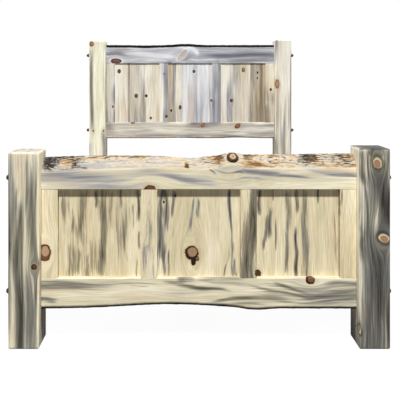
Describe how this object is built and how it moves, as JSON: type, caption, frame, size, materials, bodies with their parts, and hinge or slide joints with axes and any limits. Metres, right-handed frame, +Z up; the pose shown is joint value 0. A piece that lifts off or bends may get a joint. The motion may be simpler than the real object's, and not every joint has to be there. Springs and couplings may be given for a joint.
{
  "type": "panel bed",
  "caption": "Rustic live-edge timber bed: square posts, frame-and-panel footboard, board-filled headboard, hook-on side rails and a slat deck on levelling centre legs.",
  "frame": {"origin": "on the floor, under the middle of the bed", "axes": "+X to the right as seen from the foot, +Y from the foot to the head, +Z up"},
  "size_m": [1.7896, 2.34, 1.543],
  "materials": {
    "cream_pine": "clear satin over pale pine with grey-blue streaks and brown knots",
    "blue_stained_pine": "clear satin over heavily blue-stained pine with waney edges",
    "panel_pine": "clear satin over knotty streaked pine boards",
    "framing_pine": "planed, unfinished",
    "dark_iron": "blackened and browned",
    "zinc_steel": "zinc plated"
  },
  "bodies": {
    "bed": {"foot_post_left": "cream_pine", "foot_post_right": "blue_stained_pine", "head_post_left": "cream_pine", "head_post_right": "cream_pine", "foot_top_rail": "blue_stained_pine", "foot_bottom_rail": "blue_stained_pine", "head_top_rail": "blue_stained_pine", "head_bottom_rail": "blue_stained_pine", "foot_stile_left": "cream_pine", "foot_stile_right": "cream_pine", "foot_muntin_left": "cream_pine", "foot_muntin_right": "cream_pine", "head_stile_left": "cream_pine", "head_stile_right": "cream_pine", "head_muntin_left": "blue_stained_pine", "head_muntin_right": "blue_stained_pine", "foot_panel_left": "panel_pine", "foot_panel_middle": "panel_pine", "foot_panel_right": "panel_pine", "head_board_1": "panel_pine", "head_board_2": "panel_pine", "head_board_3": "panel_pine", "head_board_4": "panel_pine", "head_board_5": "panel_pine", "head_board_6": "panel_pine", "head_board_7": "panel_pine", "head_board_8": "panel_pine", "head_board_9": "panel_pine", "side_rail_left": "cream_pine", "side_rail_right": "cream_pine", "ledger_left": "framing_pine", "ledger_right": "framing_pine", "slat_1": "framing_pine", "slat_2": "framing_pine", "slat_3": "framing_pine", "slat_4": "framing_pine", "slat_5": "framing_pine", "centre_beam": "framing_pine", "centre_leg_foot": "framing_pine", "centre_leg_head": "framing_pine", "rail_bolt_foot_left_upper": "dark_iron", "rail_bolt_foot_left_lower": "dark_iron", "rail_bolt_foot_right_upper": "dark_iron", "rail_bolt_foot_right_lower": "dark_iron", "rail_bolt_head_left_upper": "dark_iron", "rail_bolt_head_left_lower": "dark_iron", "rail_bolt_head_right_upper": "dark_iron", "rail_bolt_head_right_lower": "dark_iron", "post_plate_foot_left": "zinc_steel", "post_plate_foot_right": "zinc_steel", "post_plate_head_left": "zinc_steel", "post_plate_head_right": "zinc_steel", "hook_plate_foot_left": "zinc_steel", "hook_plate_foot_right": "zinc_steel", "hook_plate_head_left": "zinc_steel", "hook_plate_head_right": "zinc_steel"},
    "leveller_foot": {"leveller_foot": "zinc_steel"},
    "leveller_head": {"leveller_head": "zinc_steel"}
  },
  "joints": [
    {"name": "leveller_foot_screw", "type": "slide", "parent": "bed", "child": "leveller_foot", "axis": [0, 0, 1], "range_m": [-0.02, 0]},
    {"name": "leveller_head_screw", "type": "slide", "parent": "bed", "child": "leveller_head", "axis": [0, 0, 1], "range_m": [-0.02, 0]}
  ]
}
